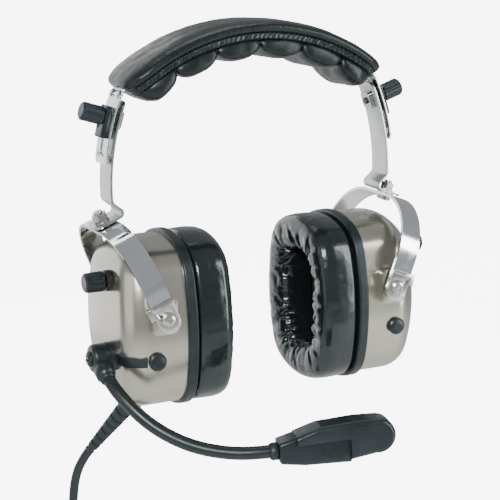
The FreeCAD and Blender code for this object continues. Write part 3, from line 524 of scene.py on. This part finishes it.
OVAL_STEPS = 4000
OVAL_MEAN_R = 37.0
SPACING_INSET = 9.0
SEAL_AROUND = 300
SEAL_ACROSS = 64
SEAL_FACE_X = CUP_ORIGIN.x - 30.0
SEAL_BACK = 22.6
SEAL_RING = 22.0
SEAL_OUTLINE = [
    (SEAL_BACK, 1.6), (SEAL_BACK - 1.6, 0.5), (SEAL_BACK - 6.0, 0.15), (10.0, 0.1), (5.6, 0.6),
    (2.7, 2.0), (0.9, 4.6), (0.1, 8.4), (0.1, 13.2), (0.9, 16.8), (2.9, 19.8), (6.0, 21.5),
    (10.0, SEAL_RING), (16.0, SEAL_RING), (SEAL_BACK, 20.6),
]
SEAL_LENGTHS = running_lengths(SEAL_OUTLINE)

side_centre = Vector((CUP_HALF_WIDTH - CUP_SIDE_R, 0.0))
end_centre = Vector((0.0, CUP_HALF_HEIGHT - CUP_END_R))


def circle_crossing(first, first_r, second, second_r):
    """Crossing of two circles, on the side with the larger sum of coordinates."""
    gap = second - first
    distance = gap.length
    along = (distance**2 + first_r**2 - second_r**2) / (2.0 * distance)
    height = math.sqrt(first_r**2 - along**2)
    unit = gap / distance
    normal = Vector((-unit.y, unit.x))
    one = first + unit * along + normal * height
    other = first + unit * along - normal * height
    return one if one.x + one.y > other.x + other.y else other


corner_centre = circle_crossing(
    side_centre, CUP_SIDE_R - CUP_CORNER_R, end_centre, CUP_END_R - CUP_CORNER_R
)
side_limit = math.atan2(corner_centre.y - side_centre.y, corner_centre.x - side_centre.x)
end_limit = math.atan2(corner_centre.y - end_centre.y, corner_centre.x - end_centre.x)


def oval_point(angle, inset):
    """Point of the cup's oval, moved inward by inset, where the outline faces that angle."""
    c, s = math.cos(angle), math.sin(angle)
    a = math.atan2(abs(s), abs(c))
    if a < side_limit:
        centre, radius = side_centre, CUP_SIDE_R
    elif a > end_limit:
        centre, radius = end_centre, CUP_END_R
    else:
        centre, radius = corner_centre, CUP_CORNER_R
    y = centre.x + (radius - inset) * math.cos(a)
    z = centre.y + (radius - inset) * math.sin(a)
    return Vector((math.copysign(y, c), math.copysign(z, s)))


def even_oval_angles(count):
    """Facing angles that divide the oval into equal lengths, from +Y round through +Z."""
    angles = [2.0 * math.pi * i / OVAL_STEPS for i in range(OVAL_STEPS + 1)]
    places = [oval_point(a, SPACING_INSET) for a in angles]
    total = [0.0]
    for here, there in zip(places, places[1:]):
        total.append(total[-1] + (there - here).length)
    result = []
    k = 0
    for j in range(count):
        target = total[-1] * j / count
        while total[k + 1] < target:
            k += 1
        share = (target - total[k]) / max(total[k + 1] - total[k], 1e-9)
        result.append(angles[k] + (angles[k + 1] - angles[k]) * share)
    return result


def seal_section(share):
    """(depth from the face, inset) round the seal; share 0 is at the outer back seam."""
    target = share * SEAL_LENGTHS[-1]
    for i in range(len(SEAL_OUTLINE) - 1):
        start, end = SEAL_LENGTHS[i], SEAL_LENGTHS[i + 1]
        if target <= end + 1e-9:
            t = (target - start) / (end - start)
            a, b = SEAL_OUTLINE[i], SEAL_OUTLINE[i + 1]
            return a[0] + (b[0] - a[0]) * t, a[1] + (b[1] - a[1]) * t
    return SEAL_OUTLINE[-1]


def seal_wrinkle(along, share, seed):
    """Size of the seal's folds in mm: large round the opening, faint on the outer wall."""
    rim = math.exp(-(((share - 0.66) / 0.15) ** 2))
    face = math.exp(-(((share - 0.50) / 0.10) ** 2))
    outer = math.exp(-(((share - 0.22) / 0.16) ** 2))
    stretch = Vector((along / 6.0, share * 2.2, seed))
    folds = noise.noise(stretch) + 0.5 * noise.noise(stretch * 2.3)
    creases = 1.0 - abs(noise.noise(Vector((along / 8.5, share * 2.6, seed + 9.0)))) * 2.2
    sharp = max(creases - 0.5, 0.0) * 2.0
    dent = rim * (1.5 * (folds + 0.4) + 1.7 * sharp)
    dent += face * (0.35 * (folds + 0.4) + 0.6 * sharp)
    slack = noise.noise(Vector((along / 16.0 + share * 1.5, share * 5.0, seed + 4.0)))
    dent += outer * (0.5 * max(slack, 0.0) + 0.2 * (folds + 0.5))
    return max(dent, 0.0)


def make_seal(side, sign, seed):
    """Ear seal's cover; the seed gives each side its own folds."""
    angles = even_oval_angles(SEAL_AROUND)
    circumference = 2.0 * math.pi * OVAL_MEAN_R
    points = []
    for j, angle in enumerate(angles):
        along = circumference * j / SEAL_AROUND
        blend = min(j, SEAL_AROUND - j) / SEAL_AROUND
        for i in range(SEAL_ACROSS):
            share = i / (SEAL_ACROSS - 1)
            depth, inset = seal_section(share)
            depth_next, inset_next = seal_section(min(share + 0.01, 1.0))
            tangent = Vector((depth_next - depth, inset_next - inset))
            if tangent.length < 1e-6:
                tangent = Vector((1.0, 0.0))
            tangent.normalize()
            dent = seal_wrinkle(along, share, seed) * min(1.0, blend * 30.0 + 0.2)
            # the face and the opening's wall dent into the foam, the outer wall swells outward
            sideways = tangent.x if share < 0.5 else -tangent.x
            depth += tangent.y * dent
            inset += sideways * dent
            place = oval_point(angle, inset)
            x = SEAL_FACE_X + depth
            points.append((sign * x, place.x + CUP_ORIGIN.y, place.y + CUP_ORIGIN.z))
    faces = grid_faces(SEAL_AROUND, SEAL_ACROSS, close_rows=True)
    seal = mesh_piece(side + "_seal_cover", points, faces, "black_vinyl", side + "_cup")
    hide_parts(side + "_ear_seal")


make_seal("left", 1.0, 3.0)
make_seal("right", -1.0, 17.0)

# -------------------------------------------------------------------- head pad

shoulder_x = LEG_REACH - LEG_R + (LEG_R - SHOULDER_R) * math.cos(math.radians(JOIN_ANGLE))
top_centre_z = BAND_TOP_Z - TOP_R
shoulder_z = top_centre_z + math.sqrt((TOP_R - SHOULDER_R) ** 2 - shoulder_x**2)
top_half = math.atan2(shoulder_x, shoulder_z - top_centre_z)
TOP_ARC = TOP_R * top_half


def band_frame(s):
    """Point and outward normal of the band's middle, s along it from the apex, in XZ."""
    reach = abs(s)
    if reach <= TOP_ARC:
        angle = reach / TOP_R
        normal = Vector((math.sin(angle), 0.0, math.cos(angle)))
        point = Vector((0.0, 0.0, top_centre_z)) + normal * TOP_R
    else:
        angle = top_half + (reach - TOP_ARC) / SHOULDER_R
        normal = Vector((math.sin(angle), 0.0, math.cos(angle)))
        point = Vector((shoulder_x, 0.0, shoulder_z)) + normal * SHOULDER_R
    if s < 0:
        point.x = -point.x
        normal.x = -normal.x
    return point, normal


PAD_END = math.radians(54.0)
PAD_HALF_LENGTH = TOP_ARC + (PAD_END - top_half) * SHOULDER_R
PAD_HALF_WIDTH = 23.3
PILLOWS = 6
PIPING_TOP = -1.4
PIPING_BOTTOM = -6.2
PILLOW_BOTTOM = -17.2
COVER_TOP = 5.2
CORNER_CUTS = 3
COVER_ROWS, COVER_RING = 360, 120
PIPING_ROWS, PIPING_RING = 900, 120
PILLOW_ROWS, PILLOW_RING = 640, 132


def smooth_step(value):
    """0 to 1 with a soft start and end; values outside are held."""
    value = min(max(value, 0.0), 1.0)
    return value * value * (3.0 - 2.0 * value)


def along_outline(outline, count):
    """That many evenly spaced points along an open line of points, with both ends."""
    lengths = running_lengths(outline)
    points = []
    piece = 0
    for i in range(count):
        target = lengths[-1] * i / (count - 1)
        while piece < len(outline) - 2 and target > lengths[piece + 1]:
            piece += 1
        t = (target - lengths[piece]) / max(lengths[piece + 1] - lengths[piece], 1e-9)
        a, b = outline[piece], outline[piece + 1]
        points.append((a[0] + (b[0] - a[0]) * t, a[1] + (b[1] - a[1]) * t))
    return points


def rounded(outline):
    """Open line with its corners cut again and again, ends kept."""
    for _ in range(CORNER_CUTS):
        cut = [outline[0]]
        for a, b in zip(outline, outline[1:]):
            cut.append((a[0] * 0.75 + b[0] * 0.25, a[1] * 0.75 + b[1] * 0.25))
            cut.append((a[0] * 0.25 + b[0] * 0.75, a[1] * 0.25 + b[1] * 0.75))
        cut.append(outline[-1])
        outline = cut
    return outline


def pad_taper(u):
    """Width and thickness shares near the pad's rounded ends; u is -1 to 1 along it."""
    end = 1.0 - abs(u)
    width = math.sqrt(1.0 - 0.6 * max(0.0, (abs(u) - 0.82) / 0.18) ** 2)
    cap = math.sqrt(1.0 - (1.0 - min(end / 0.035, 1.0)) ** 2)
    return width * (0.6 + 0.4 * cap), 0.2 + 0.8 * cap


def band_point(s, y, n):
    """Point at s along the band, y across it and n outward from its middle."""
    point, normal = band_frame(s)
    return tuple(point + normal * n + Vector((0.0, y, 0.0)))


def pad_skin(name, section, rows, ring_count):
    """Closed leather skin swept along the pad: section(u, s) gives one ring of (y, n)."""
    points = []
    for i in range(rows):
        u = -1.0 + 2.0 * i / (rows - 1)
        s = u * PAD_HALF_LENGTH
        points += [band_point(s, y, n) for y, n in section(u, s)]
    return mesh_piece(name, points, capped_faces(rows, ring_count), "black_leather", "headband")


def mirrored_ring(half, ring_count):
    """Closed ring from the half section that runs from the top's middle to the bottom's middle."""
    outline = along_outline(half, ring_count // 2 + 1)
    return outline + [(-y, n) for y, n in reversed(outline[1:-1])]


def cover_section(u, s):
    """Smooth upper cover with a rolled edge."""
    width, thick = pad_taper(u)
    w = PAD_HALF_WIDTH * width
    half = rounded([
        (0.0, 5.0), (w * 0.5, 4.9), (w * 0.85, 4.0), (w - 0.2, 1.9),
        (w, -0.6), (w - 1.6, -2.2), (w - 4.0, -2.4), (0.0, -2.0),
    ])
    ring = []
    for y, n in mirrored_ring(half, COVER_RING):
        side = math.copysign(1.0, y)
        crest = noise.noise(Vector((s / 16.0, y / 9.0, 2.0)))
        crest += 0.4 * noise.noise(Vector((s / 5.0, y / 7.0, 4.0)))
        pull = max(0.0, abs(y) / w - 0.6) * 0.5 * noise.noise(Vector((s / 2.6, 3.0, side)))
        lift = (0.35 * crest + pull) * (1.0 if n > -1.0 else 0.0)
        ring.append((y * (1.0 + 0.004 * pull), min((n + lift) * thick, COVER_TOP)))
    return ring


def piping_section(u, s):
    """Gathered band between the cover and the pillows, with irregular slanting folds."""
    width, thick = pad_taper(u)
    w = PAD_HALF_WIDTH * width
    middle = (PIPING_TOP + PIPING_BOTTOM) / 2.0
    half = rounded([
        (0.0, PIPING_TOP), (w - 2.6, PIPING_TOP), (w - 0.2, middle + 1.7), (w + 0.1, middle),
        (w - 0.2, middle - 1.7), (w - 2.6, PIPING_BOTTOM), (0.0, PIPING_BOTTOM),
    ])
    ring = []
    for y, n in mirrored_ring(half, PIPING_RING):
        side = math.copysign(1.0, y)
        rim = smooth_step((abs(y) - (w - 4.0)) / 3.0)
        wander = 2.4 * noise.noise(Vector((s / 9.0, side * 3.0, 1.0)))
        wander += 0.5 * noise.noise(Vector((s / 2.5, side, 6.0)))
        fold = math.sin((s + 0.5 * (n - middle) * side) * 2.0 * math.pi / 3.1 + wander)
        depth = 0.45 + 0.35 * noise.noise(Vector((s / 4.0, side * 7.0, 3.0)))
        groove = 0.5 * math.exp(-(((n - middle) / 0.5) ** 2))
        inward = rim * (depth * (1.0 - fold) + groove)
        ring.append((y - side * inward, n * thick))
    return ring


def pillow_section(u, s):
    """Row of soft pillows with deep creases between them."""
    width, thick = pad_taper(u)
    cell = (u + 1.0) / 2.0 * PILLOWS
    phase = cell - math.floor(cell)
    off = abs(2.0 * phase - 1.0)
    puff = math.sqrt(max(0.0, 1.0 - off**2.3))
    crease = 1.0 - puff
    w = (PAD_HALF_WIDTH - 0.5 - 3.2 * crease**1.5) * width
    bottom = PIPING_BOTTOM - 1.6 + (PILLOW_BOTTOM - PIPING_BOTTOM + 1.6) * (0.12 + 0.88 * puff)
    side = (PIPING_BOTTOM + bottom) / 2.0
    half = rounded([
        (0.0, -4.6), (w - 3.2, -5.0), (w - 0.9, PIPING_BOTTOM - 0.3), (w, side + 1.6 * puff),
        (w - 0.3, side - 2.2 * puff), (w - 2.2, bottom + 1.9 * puff),
        (w - 6.0, bottom + 0.3 * puff), (w * 0.4, bottom), (0.0, bottom),
    ])
    ring = []
    for y, n in mirrored_ring(half, PILLOW_RING):
        low = smooth_step((-n + PIPING_BOTTOM) / 4.0)
        swell = noise.noise(Vector((s / 12.0, y / 10.0, 7.0)))
        radial = math.exp(-((off - 0.95) / 0.16) ** 2)
        pucker = radial * noise.noise(Vector((s / 4.5, y / 3.2, n / 3.6)))
        slack = noise.noise(Vector((s / 8.0, y / 6.0, n / 5.0 + 11.0)))
        n += low * (0.45 * swell + 0.45 * pucker)
        y -= math.copysign(0.35 + 0.3 * slack + 0.35 * abs(pucker), y) * smooth_step(abs(y) / 10.0)
        ring.append((y, max(n, PILLOW_BOTTOM) * thick))
    return ring


def make_pad():
    """Cover, gathered band and pillows of the head pad, one skin each."""
    cover = pad_skin("head_pad_cover", cover_section, COVER_ROWS, COVER_RING)
    pad_skin("head_pad_piping", piping_section, PIPING_ROWS, PIPING_RING)
    pillows = pad_skin("head_pad_pillows", pillow_section, PILLOW_ROWS, PILLOW_RING)
    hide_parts("headpad_top")
    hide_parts("headpad_cushion")


make_pad()

# ------------------------------------------------------------- stage and light

FLOOR_REACH = 18.0
FLOOR_DROP = 0.03
PAPER_GLOW = 7.0
ROOM_GLOW = PAPER_GLOW + 0.5
ROOM_LIGHT = 0.42
LIGHT_TARGET = Vector((0.0, 0.0, -0.1))


def make_stage():
    """Wide white floor under the lowest plug, which glows to the camera alone, as lit paper."""
    floor_z = cad_low.z - FLOOR_DROP
    reach = FLOOR_REACH
    corners = [(-reach, -reach), (reach, -reach), (reach, reach), (-reach, reach)]
    mesh = bpy.data.meshes.new("floor")
    mesh.from_pydata([(x, y, floor_z) for x, y in corners], [], [(0, 1, 2, 3)])
    stage = bpy.data.objects.new("floor", mesh)
    scene.collection.objects.link(stage)
    paper = make_material(
        "paper", (0.86, 0.86, 0.86), (0.88, 0.88, 0.88), 0.0, (0.7, 0.8), [],
        mottle=2.0, smudge=3.0,
    )
    tree = paper.node_tree
    seen = node_of(tree, "ShaderNodeLightPath")
    glow = node_of(tree, "ShaderNodeMath", operation="MULTIPLY")
    glow.inputs[1].default_value = PAPER_GLOW
    tree.links.new(seen.outputs["Is Camera Ray"], glow.inputs[0])
    shader = tree.nodes["Principled BSDF"]
    shader.inputs["Emission Color"].default_value = (1.0, 1.0, 1.0, 1.0)
    tree.links.new(glow.outputs[0], shader.inputs["Emission Strength"])
    stage.data.materials.append(paper)


def area_light(name, place, size, power):
    """White soft box of this size in metres and power in watts, turned to the headset's middle."""
    data = bpy.data.lights.new(name, "AREA")
    data.shape = "RECTANGLE"
    data.size, data.size_y = size
    data.energy = power
    light = bpy.data.objects.new(name, data)
    scene.collection.objects.link(light)
    light.location = place
    light.rotation_mode = "QUATERNION"
    light.rotation_quaternion = (LIGHT_TARGET - Vector(place)).to_track_quat("-Z", "Y")


def make_light():
    """Soft grey room that is seen as white paper, with five soft boxes."""
    world = bpy.data.worlds.new("world")
    scene.world = world
    world.use_nodes = True
    tree = world.node_tree
    background = tree.nodes["Background"]
    background.inputs["Color"].default_value = (0.94, 0.97, 1.0, 1.0)
    seen = node_of(tree, "ShaderNodeLightPath")
    strength = ramp(tree, seen.outputs["Is Camera Ray"], 0.0, 1.0, ROOM_LIGHT, ROOM_GLOW)
    tree.links.new(strength, background.inputs["Strength"])
    area_light("key", (-0.7, -1.0, 0.52), (0.5, 0.4), 18.0)
    area_light("strip", (0.75, -0.75, 0.1), (0.22, 1.1), 9.0)
    area_light("top", (0.1, 0.35, 1.1), (0.8, 0.4), 4.0)
    area_light("side", (-1.15, -0.25, 0.05), (0.8, 0.9), 2.5)
    area_light("back", (-0.5, 1.25, 0.0), (1.8, 1.4), 12.0)


make_stage()
make_light()
